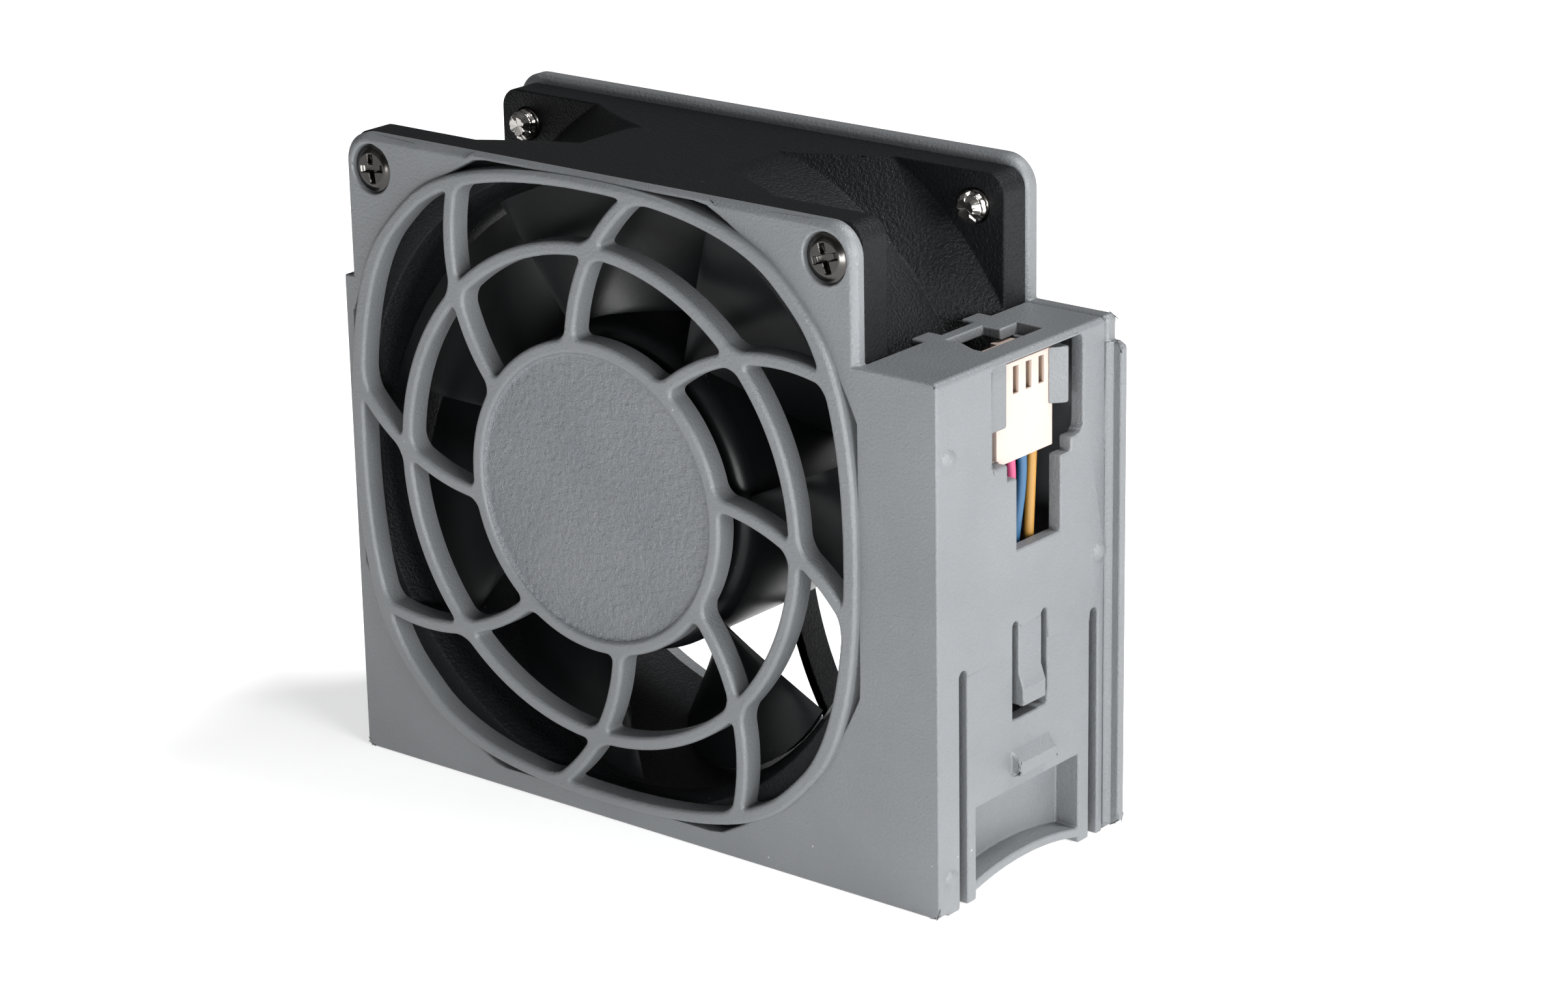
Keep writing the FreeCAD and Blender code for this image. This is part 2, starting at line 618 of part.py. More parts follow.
save("rear_screws", screws(REAR, -1, REAR - 26.85))
save("connector_housing", connector_housing())
save("connector_terminals", connector_terminals())
save("wire_black", wire(wire_path(0, -1.95, [(48.8, 15.9, 3.0), (47.6, 16.4, -8.85)])))
save("wire_red", wire(wire_path(1, -0.65, [(49.05, 18.0, 6.0), (47.3, 17.9, -7.55)])))
save("wire_blue", wire(wire_path(2, 0.65, [(49.05, 20.1, 6.8), (47.6, 19.4, -6.25)])))
save("wire_yellow", wire(wire_path(3, 1.95, [(48.6, 21.7, -4.95)])))
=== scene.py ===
import bmesh
import json
import math
import bpy
import numpy as np
from mathutils import Matrix, Vector
from mathutils.geometry import delaunay_2d_cdt


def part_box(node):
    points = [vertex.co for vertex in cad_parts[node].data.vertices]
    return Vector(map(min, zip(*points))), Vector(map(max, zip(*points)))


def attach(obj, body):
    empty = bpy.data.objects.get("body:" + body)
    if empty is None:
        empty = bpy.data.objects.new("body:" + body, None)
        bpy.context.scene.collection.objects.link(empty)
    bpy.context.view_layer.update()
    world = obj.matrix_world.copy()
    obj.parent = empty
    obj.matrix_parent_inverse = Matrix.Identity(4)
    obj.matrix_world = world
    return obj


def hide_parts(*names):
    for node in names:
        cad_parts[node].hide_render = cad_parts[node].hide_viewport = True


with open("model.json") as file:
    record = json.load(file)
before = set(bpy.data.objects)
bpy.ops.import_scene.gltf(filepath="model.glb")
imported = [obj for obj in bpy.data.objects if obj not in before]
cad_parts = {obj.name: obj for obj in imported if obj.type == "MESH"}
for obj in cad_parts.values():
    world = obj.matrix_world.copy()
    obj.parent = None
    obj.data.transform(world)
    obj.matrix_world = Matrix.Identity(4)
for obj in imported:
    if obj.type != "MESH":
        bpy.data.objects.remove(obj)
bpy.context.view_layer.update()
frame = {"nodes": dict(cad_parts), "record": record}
mm = 0.001
perMetre = 1000

# The fan's axis and the front plate's face, from which the other places are measured.
shaftLow, shaftHigh = [np.array(c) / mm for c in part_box("shaft")]
ribsProud = 0.9
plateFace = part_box("front_grille")[0][1] / mm + ribsProud
origin = np.array([(shaftLow[0] + shaftHigh[0]) / 2, plateFace, (shaftLow[2] + shaftHigh[2]) / 2])


def place(points):
    # From millimetres about the fan's axis, depth counted from the plate's face, to metres.
    return (np.asarray(points, dtype=float) + origin) * mm


def smoothstep(low, high, x):
    t = np.clip((x - low) / (high - low), 0, 1)
    return t * t * (3 - 2 * t)


def inScene(name, data):
    obj = bpy.data.objects.new(name, data)
    bpy.context.scene.collection.objects.link(obj)
    return obj


# Camera, floor and light.
print("camera and light")
camera = {"yaw": 39.195, "pitch": 18.705, "roll": -1.053, "away": 522.162, "aim": (12.966, 20.0, -2.41),
          "lens": 97.34}


def makeCamera(c):
    a, e, r = (math.radians(c[k]) for k in ("yaw", "pitch", "roll"))
    back = Vector((math.sin(a) * math.cos(e), -math.cos(a) * math.cos(e), math.sin(e)))
    side = Vector((math.cos(a), math.sin(a), 0))
    up = back.cross(side)
    right = side * math.cos(r) + up * math.sin(r)
    top = up * math.cos(r) - side * math.sin(r)
    data = bpy.data.cameras.new("camera")
    data.lens = c["lens"]
    data.sensor_width = 36
    data.clip_start = 0.01
    data.clip_end = 20
    obj = inScene("camera", data)
    at = Vector(place(c["aim"])) + back * c["away"] * mm
    turn = Matrix((right, top, back)).transposed().to_4x4()
    obj.matrix_world = Matrix.Translation(at) @ turn
    bpy.context.scene.camera = obj


makeCamera(camera)

lights = {
    "key": {"at": (0.8, -0.1, 0.14), "size": 0.5, "power": 13.0},
    "front": {"at": (-0.5, -0.9, 0.35), "size": 0.7, "power": 0.4},
    "low": {"at": (0.17, -0.3, -0.02), "size": 0.2, "power": 2.6},
    "top": {"at": (0.35, 0.3, 0.8), "size": 0.3, "power": 9.0},
}
studio = {"aim": (0, 0, 0.04), "fill": 0.13, "seen": 1.0, "half": 3.0, "pale": 0.9, "rough": 0.9,
          "glow": 0.55}


def makeLights():
    for name, one in lights.items():
        data = bpy.data.lights.new(name, "AREA")
        data.size = one["size"]
        data.energy = one["power"]
        obj = inScene(name, data)
        obj.location = one["at"]
        obj.rotation_euler = (Vector(studio["aim"]) - Vector(one["at"])).to_track_quat("-Z", "Y").to_euler()
    world = bpy.data.worlds.new("studio")
    bpy.context.scene.world = world
    world.use_nodes = True
    world.node_tree.nodes["Background"].inputs["Color"].default_value = (1, 1, 1, 1)
    world.node_tree.nodes["Background"].inputs["Strength"].default_value = studio["fill"]
    seen = world.node_tree.nodes.new("ShaderNodeBackground")
    seen.inputs["Strength"].default_value = studio["seen"]
    rays = world.node_tree.nodes.new("ShaderNodeLightPath")
    pick = world.node_tree.nodes.new("ShaderNodeMixShader")
    links = world.node_tree.links
    links.new(rays.outputs["Is Camera Ray"], pick.inputs["Fac"])
    links.new(world.node_tree.nodes["Background"].outputs[0], pick.inputs[1])
    links.new(seen.outputs[0], pick.inputs[2])
    links.new(pick.outputs[0], world.node_tree.nodes["World Output"].inputs["Surface"])
    bpy.context.scene.view_settings.view_transform = "Standard"


def makeFloor():
    mesh = bpy.data.meshes.new("floor")
    s = studio["half"]
    mesh.from_pydata([(-s, -s, 0), (s, -s, 0), (s, s, 0), (-s, s, 0)], [], [(0, 1, 2, 3)])
    obj = inScene("floor", mesh)
    paint = bpy.data.materials.new("floor")
    paint.use_nodes = True
    shader = paint.node_tree.nodes["Principled BSDF"]
    shader.inputs["Base Color"].default_value = (*[studio["pale"]] * 3, 1)
    shader.inputs["Roughness"].default_value = studio["rough"]
    shader.inputs["Emission Color"].default_value = (1, 1, 1, 1)
    shader.inputs["Emission Strength"].default_value = studio["glow"]
    mesh.materials.append(paint)


makeLights()
makeFloor()

# The shared shader group and the finish of every material.
print("materials")


def newGroup(name, inputs, outputs):
    group = bpy.data.node_groups.new(name, "ShaderNodeTree")
    for socket, kind, value in inputs:
        made = group.interface.new_socket(socket, in_out="INPUT", socket_type=kind)
        made.default_value = value
    for socket, kind in outputs:
        group.interface.new_socket(socket, in_out="OUTPUT", socket_type=kind)
    return group, group.nodes.new("NodeGroupInput"), group.nodes.new("NodeGroupOutput")


def node(tree, kind, links=(), **values):
    made = tree.nodes.new(kind)
    for key, value in values.items():
        if hasattr(made, key):
            setattr(made, key, value)
        else:
            made.inputs[key.replace("_", " ").title()].default_value = value
    for socket, source in links:
        tree.links.new(source, made.inputs[socket])
    return made


def mathNode(tree, operation, a, b):
    made = tree.nodes.new("ShaderNodeMath")
    made.operation = operation
    for k, value in enumerate((a, b)):
        if isinstance(value, (int, float)):
            made.inputs[k].default_value = value
        else:
            tree.links.new(value, made.inputs[k])
    return made.outputs[0]


grainStyle = {"coarse": 2600.0, "fine": 7000.0, "fineShare": 0.45, "slow": 60.0, "specks": 420.0,
              "speck": 0.05, "rare": 0.58, "relief": 0.03, "shine": 0.5, "roughEither": 0.06}


def makeGrain():
    # Spark-eroded mould texture: two sizes of noise for the height, a slow one for the tone,
    # and small specks of dust where the tone is light.
    g, number = grainStyle, "NodeSocketFloat"
    group, inside, outside = newGroup("moulded grain",
                                      [("Coarse", number, g["coarse"]), ("Fine", number, g["fine"])],
                                      [("Height", number), ("Tone", number), ("Dust", number)])
    at = group.nodes.new("ShaderNodeTexCoord").outputs["Object"]
    noise = "ShaderNodeTexNoise"
    coarse = node(group, noise, [("Vector", at), ("Scale", inside.outputs["Coarse"])], Detail=2.0)
    fine = node(group, noise, [("Vector", at), ("Scale", inside.outputs["Fine"])], Detail=1.0)
    slow = node(group, noise, [("Vector", at)], Scale=g["slow"], Detail=4.0)
    specks = node(group, "ShaderNodeTexVoronoi", [("Vector", at)], Scale=g["specks"])
    both = mathNode(group, "MULTIPLY_ADD", fine.outputs[0], g["fineShare"])
    group.links.new(coarse.outputs[0], both.node.inputs[2])
    near = mathNode(group, "LESS_THAN", specks.outputs["Distance"], g["speck"])
    rare = mathNode(group, "GREATER_THAN", slow.outputs[0], g["rare"])
    group.links.new(both, outside.inputs["Height"])
    group.links.new(slow.outputs[0], outside.inputs["Tone"])
    group.links.new(mathNode(group, "MULTIPLY", near, rare), outside.inputs["Dust"])
    return group


grain = makeGrain()

# Two tones that the slow noise mixes, and how rough, deep and shiny the surface is.
finishes = {
    "cradle_plastic": {"dark": (0.088, 0.094, 0.099), "light": (0.132, 0.139, 0.145),
                       "rough": 0.46, "depth": 0.7, "relief": 0.12, "dust": (0.3, 0.3, 0.3)},
    "fan_plastic": {"dark": (0.0035, 0.004, 0.0045), "light": (0.0065, 0.0072, 0.008),
                    "rough": 0.44, "depth": 0.8, "relief": 0.2, "shine": 0.12, "dust": (0.06, 0.06, 0.06)},
    "rotor_plastic": {"dark": (0.003, 0.0034, 0.0038), "light": (0.005, 0.0056, 0.006),
                      "rough": 0.32, "depth": 0.3, "shine": 0.14, "dust": (0.04, 0.04, 0.04)},
    "hub_face": {"dark": (0.08, 0.087, 0.094), "light": (0.132, 0.139, 0.147),
                 "rough": 0.44, "depth": 1.0, "coarse": 1500.0, "relief": 0.3, "dust": (0.3, 0.3, 0.3)},
    "connector_nylon": {"dark": (0.34, 0.265, 0.235), "light": (0.41, 0.33, 0.295),
                        "rough": 0.42, "depth": 0.3, "dust": (0.5, 0.45, 0.4)},
    "wire_black": {"dark": (0.008, 0.008, 0.009), "light": (0.014, 0.014, 0.015),
                   "rough": 0.42, "depth": 0.1},
    "wire_red": {"dark": (0.3, 0.035, 0.1), "light": (0.38, 0.055, 0.14),
                 "rough": 0.42, "depth": 0.1},
    "wire_blue": {"dark": (0.012, 0.06, 0.13), "light": (0.02, 0.085, 0.17),
                  "rough": 0.42, "depth": 0.1},
    "wire_yellow": {"dark": (0.24, 0.12, 0.02), "light": (0.32, 0.17, 0.03),
                    "rough": 0.42, "depth": 0.1},
    "screw_nickel": {"dark": (0.38, 0.36, 0.34), "light": (0.55, 0.53, 0.5),
                     "rough": 0.22, "depth": 0.1, "metal": 1.0},
    "screw_head": {"dark": (0.045, 0.043, 0.041), "light": (0.08, 0.077, 0.073),
                   "rough": 0.2, "depth": 0.1, "metal": 1.0},
    "yoke_steel": {"dark": (0.3, 0.31, 0.32), "light": (0.42, 0.43, 0.44),
                   "rough": 0.34, "depth": 0.3, "metal": 1.0},
    "magnet": {"dark": (0.03, 0.028, 0.027), "light": (0.055, 0.05, 0.048),
               "rough": 0.6, "depth": 0.6},
    "shaft_steel": {"dark": (0.5, 0.5, 0.5), "light": (0.62, 0.62, 0.62),
                    "rough": 0.14, "depth": 0.1, "metal": 1.0},
    "clip_nylon": {"dark": (0.6, 0.58, 0.52), "light": (0.7, 0.68, 0.62),
                   "rough": 0.4, "depth": 0.2},
    "tube_brass": {"dark": (0.45, 0.3, 0.1), "light": (0.6, 0.42, 0.16),
                   "rough": 0.28, "depth": 0.2, "metal": 1.0},
    "sintered_bronze": {"dark": (0.3, 0.17, 0.08), "light": (0.42, 0.26, 0.13),
                        "rough": 0.5, "depth": 0.9, "metal": 1.0, "coarse": 5200.0},
    "cap_plastic": {"dark": (0.02, 0.02, 0.022), "light": (0.035, 0.035, 0.038),
                    "rough": 0.5, "depth": 0.4},
    "core_steel": {"dark": (0.22, 0.22, 0.23), "light": (0.34, 0.34, 0.35),
                   "rough": 0.42, "depth": 0.4, "metal": 1.0},
    "coil_copper": {"dark": (0.38, 0.12, 0.04), "light": (0.56, 0.22, 0.09),
                    "rough": 0.3, "depth": 0.5, "metal": 1.0},
    "board": {"dark": (0.01, 0.06, 0.03), "light": (0.02, 0.1, 0.05),
              "rough": 0.38, "depth": 0.3},
    "terminal_brass": {"dark": (0.5, 0.36, 0.14), "light": (0.64, 0.48, 0.22),
                       "rough": 0.24, "depth": 0.1, "metal": 1.0},
}


def paintOf(slotName):
    known = bpy.data.materials.get(slotName + "_finish")
    if known:
        return known
    f = finishes[slotName]
    paint = bpy.data.materials.new(slotName + "_finish")
    paint.use_nodes = True
    tree = paint.node_tree
    shader = tree.nodes["Principled BSDF"]
    shader.inputs["Metallic"].default_value = f.get("metal", 0.0)
    shader.inputs["Specular IOR Level"].default_value = f.get("shine", grainStyle["shine"])
    look = node(tree, "ShaderNodeGroup", node_tree=grain)
    look.inputs["Coarse"].default_value = f.get("coarse", grainStyle["coarse"])
    tone = node(tree, "ShaderNodeMix", data_type="RGBA")
    tone.inputs[6].default_value = (*f["dark"], 1)
    tone.inputs[7].default_value = (*f["light"], 1)
    tree.links.new(look.outputs["Tone"], tone.inputs[0])
    dusty = node(tree, "ShaderNodeMix", data_type="RGBA")
    dusty.inputs[7].default_value = (*f.get("dust", f["light"]), 1)
    tree.links.new(look.outputs["Dust"], dusty.inputs[0])
    tree.links.new(tone.outputs[2], dusty.inputs[6])
    tree.links.new(dusty.outputs[2], shader.inputs["Base Color"])
    rough = node(tree, "ShaderNodeMapRange", [("Value", look.outputs["Tone"])])
    rough.inputs["To Min"].default_value = f["rough"] - grainStyle["roughEither"]
    rough.inputs["To Max"].default_value = f["rough"] + grainStyle["roughEither"]
    tree.links.new(rough.outputs[0], shader.inputs["Roughness"])
    bump = node(tree, "ShaderNodeBump", [("Height", look.outputs["Height"])])
    bump.inputs["Strength"].default_value = f["depth"]
    bump.inputs["Distance"].default_value = f.get("relief", grainStyle["relief"]) * mm
    tree.links.new(bump.outputs[0], shader.inputs["Normal"])
    return paint


# Mesh tools.
print("pieces")


def link(mesh, name, body, slotName, nodes, paint=None):
    obj = inScene(name, mesh)
    mesh.materials.clear()
    mesh.materials.append(paintOf(paint or slotName))
    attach(obj, body)
    if nodes:
        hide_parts(*nodes)
    return obj


def piece(name, points, faces, body, slotName, nodes=(), sharp=40, paint=None):
    # A new object from millimetres about the fan's axis, smooth except across sharp edges.
    mesh = bpy.data.meshes.new(name)
    mesh.from_pydata(place(points), [], [tuple(f) for f in faces])
    mesh.validate()
    mesh.shade_smooth()
    mesh.set_sharp_from_angle(angle=math.radians(sharp))
    return link(mesh, name, body, slotName, nodes, paint)


def merged(nodeName):
    # A copy of a CAD node's mesh with its doubled corners joined.
    bm = bmesh.new()
    bm.from_mesh(frame["nodes"][nodeName].data)
    bmesh.ops.remove_doubles(bm, verts=bm.verts, dist=copyStyle["joinFirst"] * mm)
    mesh = bpy.data.meshes.new(nodeName + "_copy")
    bm.to_mesh(mesh)
    bm.free()
    return inScene(nodeName + "_copy", mesh)


def turnOut(obj):
    # Normals recalculated so that every face points away from the solid.
    bm = bmesh.new()
    bm.from_mesh(obj.data)
    bmesh.ops.recalc_face_normals(bm, faces=bm.faces)
    bm.to_mesh(obj.data)
    bm.free()


def evaluated(obj):
    # The object's mesh with its modifiers applied.
    return bpy.data.meshes.new_from_object(obj.evaluated_get(bpy.context.evaluated_depsgraph_get()))


def combine(base, other, operation):
    step = base.modifiers.new("join", "BOOLEAN")
    step.operation = operation
    step.solver = "EXACT"
    step.object = other
    done = evaluated(base)
    base.modifiers.clear()
    base.data = done
    bpy.data.objects.remove(other)


# The two springs grow out of the wall here; their roots stay closed and unrounded.
roots = [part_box("latch_arm")[1][2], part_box("spring_finger")[1][2]]
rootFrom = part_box("latch_arm")[0][0] - 0.2 * mm
rootGap = 0.05
near = 0.01
sunkFace = 0.004
edgeStyle = {"short": 0.9, "shallow": 62, "together": 0.96, "straight": -0.8, "room": 2.6}
copyStyle = {"joinFirst": 0.0005, "join": 0.001, "flatTurn": 0.6, "sharp": 38,
             "largeArea": 1.5, "flatWithin": 0.0015}


def softEdges(bm, width, sharp):
    # Bevel weights: full on sharp edges, less beside short ones, none where two run together.
    s = edgeStyle
    weight = bm.edges.layers.float.new("bevel_weight_edge")
    for edge in bm.edges:
        turn = edge.calc_face_angle(0) if len(edge.link_faces) == 2 else 0.0
        small = edge.calc_length() < s["short"] * mm and turn < math.radians(s["shallow"])
        atRoot = any(all(abs(v.co.z - z) < near * mm for v in edge.verts) for z in roots)
        if turn > math.radians(sharp) and not small and not atRoot:
            edge[weight] = 1.0
    for vert in bm.verts:
        hard = [e for e in vert.link_edges if e[weight] > 0]
        for one in hard:
            a = (one.other_vert(vert).co - vert.co).normalized()
            for two in hard:
                if two is one:
                    continue
                b = (two.other_vert(vert).co - vert.co).normalized()
                if a.dot(b) > s["together"]:
                    one[weight] = 0.0
                elif a.dot(b) > s["straight"]:
                    one[weight] = min(one[weight], two.calc_length() / (s["room"] * width * mm))


def flatFill(bm):
    # Every large flat face is laid again from its own outline, so no thin triangle folds over.
    used = set()
    for first in sorted(bm.faces, key=lambda f: -f.calc_area()):
        if first in used or not first.is_valid:
            continue
        if first.calc_area() < copyStyle["largeArea"] * mm * mm:
            break
        normal, middle = first.normal.copy(), first.calc_center_median()
        region, queue = {first}, [first]
        while queue:
            for edge in queue.pop().edges:
                for face in edge.link_faces:
                    if face not in region and face not in used and all(
                            abs((v.co - middle).dot(normal)) < copyStyle["flatWithin"] * mm
                            for v in face.verts):
                        region.add(face)
                        queue.append(face)
        used |= region
        border = [e for f in region for e in f.edges if sum(g in region for g in e.link_faces) == 1]
        corners = list({v for e in border for v in e.verts})
        index = {v: i for i, v in enumerate(corners)}
        across = normal.orthogonal().normalized()
        up = normal.cross(across)
        flat = [Vector(((v.co - middle).dot(across), (v.co - middle).dot(up))) * perMetre
                for v in corners]
        pairs = [(index[e.verts[0]], index[e.verts[1]]) for e in border]
        points, _, tris, source, _, _ = delaunay_2d_cdt(flat, pairs, [], 0, 1e-5)
        a, b = (np.array([flat[p[k]] for p in pairs]) for k in (0, 1))
        verts = [corners[ids[0]] if ids else bm.verts.new(middle + (across * p.x + up * p.y) / perMetre)
                 for p, ids in zip(points, source)]
        bmesh.ops.delete(bm, geom=list(region), context="FACES_ONLY")
        for tri in tris:
            cx, cy = sum((points[i] for i in tri), Vector((0, 0))) / len(tri)
            over = (a[:, 1] > cy) != (b[:, 1] > cy)
            at = a[over, 0] + (cy - a[over, 1]) * (b[over, 0] - a[over, 0]) / (b[over, 1] - a[over, 1])
            if np.sum(at > cx) % 2:
                made = bm.faces.new([verts[i] for i in tri])
                made.smooth = True
                made.normal_update()
                if made.normal.dot(normal) < 0:
                    made.normal_flip()
                used.add(made)
    bmesh.ops.delete(bm, geom=[e for e in bm.edges if not e.link_faces], context="EDGES")


def finishCopy(obj, name, body, slotName, nodes, width, segments=3, sharp=32):
    # Flat faces dissolved, sharp edges rounded, the result held in the nodes' boxes, and the
    # flat faces laid again.
    bm = bmesh.new()
    bm.from_mesh(obj.data)
    face = place((0, 0, 0))[1]
    for vert in bm.verts:
        if abs(vert.co.y - face) < 1.5 * sunkFace * mm:
            vert.co.y = face
    bmesh.ops.remove_doubles(bm, verts=bm.verts, dist=copyStyle["join"] * mm)
    for vert in bm.verts:
        if name == "cradle_shell" and vert.co.x > rootFrom:
            for z in roots:
                if abs(vert.co.z - z - rootGap * mm) < near * mm:
                    vert.co.z = z
    bmesh.ops.dissolve_limit(bm, angle_limit=math.radians(copyStyle["flatTurn"]),
                             verts=bm.verts, edges=bm.edges)
    softEdges(bm, width, sharp)
    bmesh.ops.triangulate(bm, faces=[f for f in bm.faces if len(f.verts) > 4])
    bm.to_mesh(obj.data)
    bm.free()
    obj.data.shade_smooth()
    edge = obj.modifiers.new("edges", "BEVEL")
    edge.width = width * mm
    edge.segments = segments
    edge.limit_method = "WEIGHT"
    edge.use_clamp_overlap = False
    mesh = evaluated(obj)
    mesh.name = name
    bpy.data.objects.remove(obj)
    corners = np.array([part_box(n) for n in nodes])
    flat = np.empty(len(mesh.vertices) * 3)
    mesh.vertices.foreach_get("co", flat)
    held = np.clip(flat.reshape(-1, 3), corners[:, 0].min(axis=0), corners[:, 1].max(axis=0))
    mesh.vertices.foreach_set("co", held.ravel())
    bm = bmesh.new()
    bm.from_mesh(mesh)
    bm.normal_update()
    flatFill(bm)
    bm.to_mesh(mesh)
    bm.free()
    mesh.set_sharp_from_angle(angle=math.radians(copyStyle["sharp"]))
    even = link(mesh, name, body, slotName, nodes).modifiers.new("flat faces", "WEIGHTED_NORMAL")
    even.keep_sharp = True
    even.weight = 100


# The cradle: its nodes joined into one moulding, with the guard's place cut out.
rim = {"flat": 39.2, "round": 42.5, "wide": 1.8, "tall": 40.1, "corner": 7.0, "cut": 0.9, "cutTall": 0.4,
       "deep": (-2.0, 2.4), "around": 144}
slab = {"low": (-43.6, -2.0, -43.2), "high": (43.6, sunkFace, 41.2)}
rounding = {"cradle": 0.28, "finger": 0.22, "fan": 0.22, "connector": 0.1}
cradleNodes = ["front_grille", "left_wall", "floor_plate", "connector_bay", "rear_frame"]


def openingCutter():
    # Prism through the plate along the middle of the raised rim.
    n = rim["around"]
    angles = np.linspace(0, 2 * np.pi, n, endpoint=False)
    c, s = np.cos(angles), np.sin(angles)
    wide = (rim["flat"] + rim["cut"]) / np.abs(c).clip(1e-6)
    tall = (rim["flat"] + rim["cutTall"]) / np.abs(s).clip(1e-6)
    reach = np.minimum(rim["round"] + rim["cut"], np.minimum(wide, tall))
    rows = [np.stack([reach * c, np.full(n, y), reach * s], 1) for y in rim["deep"]]
    k = np.arange(n)
    faces = [tuple(k), tuple(k[::-1] + n)]
    faces += [tuple(f) for f in np.stack([k, k + n, (k + 1) % n + n, (k + 1) % n], 1)]
    mesh = bpy.data.meshes.new("cutter")
    mesh.from_pydata(place(np.concatenate(rows)), [], faces)
    obj = inScene("cutter", mesh)
    turnOut(obj)
    return obj


def faceCutter():
    # A slab in front of the plate, which takes away the rim; the guard's own piece carries it.
    bm = bmesh.new()
    low, high = place((slab["low"], slab["high"]))
    bmesh.ops.create_cube(bm, size=1.0, matrix=Matrix.Translation(Vector((low + high) / 2)) @
                          Matrix.Diagonal((*(high - low), 1.0)))
    mesh = bpy.data.meshes.new("slab")
    bm.to_mesh(mesh)
    bm.free()
    return inScene("slab", mesh)


def makeCradle():
    whole = merged(cradleNodes[0])
    combine(whole, openingCutter(), "DIFFERENCE")
    combine(whole, faceCutter(), "DIFFERENCE")
    for name in cradleNodes[1:]:
        combine(whole, merged(name), "UNION")
    finishCopy(whole, "cradle_shell", "module", "cradle_plastic", cradleNodes, rounding["cradle"])


print("cradle")
makeCradle()

# The guard's web as a relief: a distance field gives its outline, whose edges are rolled.
webStyle = {"ring": 31.1, "hub": 19.0, "rib": 0.875, "hubRib": 0.9, "fillet": 1.1, "roll": 0.55,
            "front": -0.9, "back": 1.9, "step": 0.2, "spokes": 8, "path": ((19.0, 54.6), (31.1, 44.0), (43.9, 27.9)),
            "half": 44.6, "snap": 0.55, "arc": 0.9, "far": 99.0, "roundAt": (0.3, 0.62, 0.95, 1.27, 1.5708)}


def roundUnion(a, b, r):
    # Union of two fields with a hollow fillet of radius r where they meet.
    return np.maximum(r, np.minimum(a, b)) - np.hypot(np.maximum(r - a, 0), np.maximum(r - b, 0))


def roundMeet(a, b, r):
    # Intersection of two fields with a rounded corner of radius r.
    return np.minimum(-r, np.maximum(a, b)) + np.hypot(np.maximum(r + a, 0), np.maximum(r + b, 0))


def circleThrough(path):
    p = [complex(r * math.cos(math.radians(a)), r * math.sin(math.radians(a))) for r, a in path]
    w = (p[2] - p[0]) / (p[1] - p[0])
    centre = (p[1] - p[0]) * (w - abs(w) ** 2) / (2j * w.imag) + p[0]
    return centre, abs(p[0] - centre), p[1]


def clipped(p, grow, tall):
    wide = np.maximum(np.abs(p[:, 0]) - rim["flat"] - grow, np.abs(p[:, 1]) - tall)
    return roundMeet(wide, np.hypot(p[:, 0], p[:, 1]) - rim["round"] - grow, rim["corner"])


def webField(p):
    w = webStyle
    r = np.hypot(p[:, 0], p[:, 1])
    outer = clipped(p, rim["wide"], rim["tall"])
    web = np.maximum(outer, -clipped(p, 0.0, rim["flat"]))
    web = roundUnion(web, np.abs(r - w["ring"]) - w["rib"], w["fillet"])
    web = roundUnion(web, np.abs(r - w["hub"]) - w["hubRib"], w["fillet"])
    centre, radius, via = circleThrough(w["path"])
    sector = 2 * math.pi / w["spokes"]
    z = p[:, 0] + 1j * p[:, 1]
    spokes = np.full(len(p), w["far"])
    for k in range(w["spokes"]):
        turn = np.exp(1j * sector * k)
        off = (z - centre * turn) / ((via - centre) * turn)
        one = np.abs(np.abs(z - centre * turn) - radius) - w["rib"]
        spokes = np.minimum(spokes, np.where(np.abs(np.angle(off)) < w["arc"], one, w["far"]))
    web = roundUnion(web, np.maximum(spokes, w["hub"] - r), w["fillet"])
    return np.maximum(np.maximum(web, outer), w["hub"] - w["hubRib"] - r)


def slope(field, p, h=0.02):
    dx, dz = np.array([h, 0]), np.array([0, h])
    g = np.stack([field(p + dx) - field(p - dx), field(p + dz) - field(p - dz)], 1)
    return g / np.maximum(np.hypot(g[:, 0], g[:, 1]), 1e-9)[:, None]


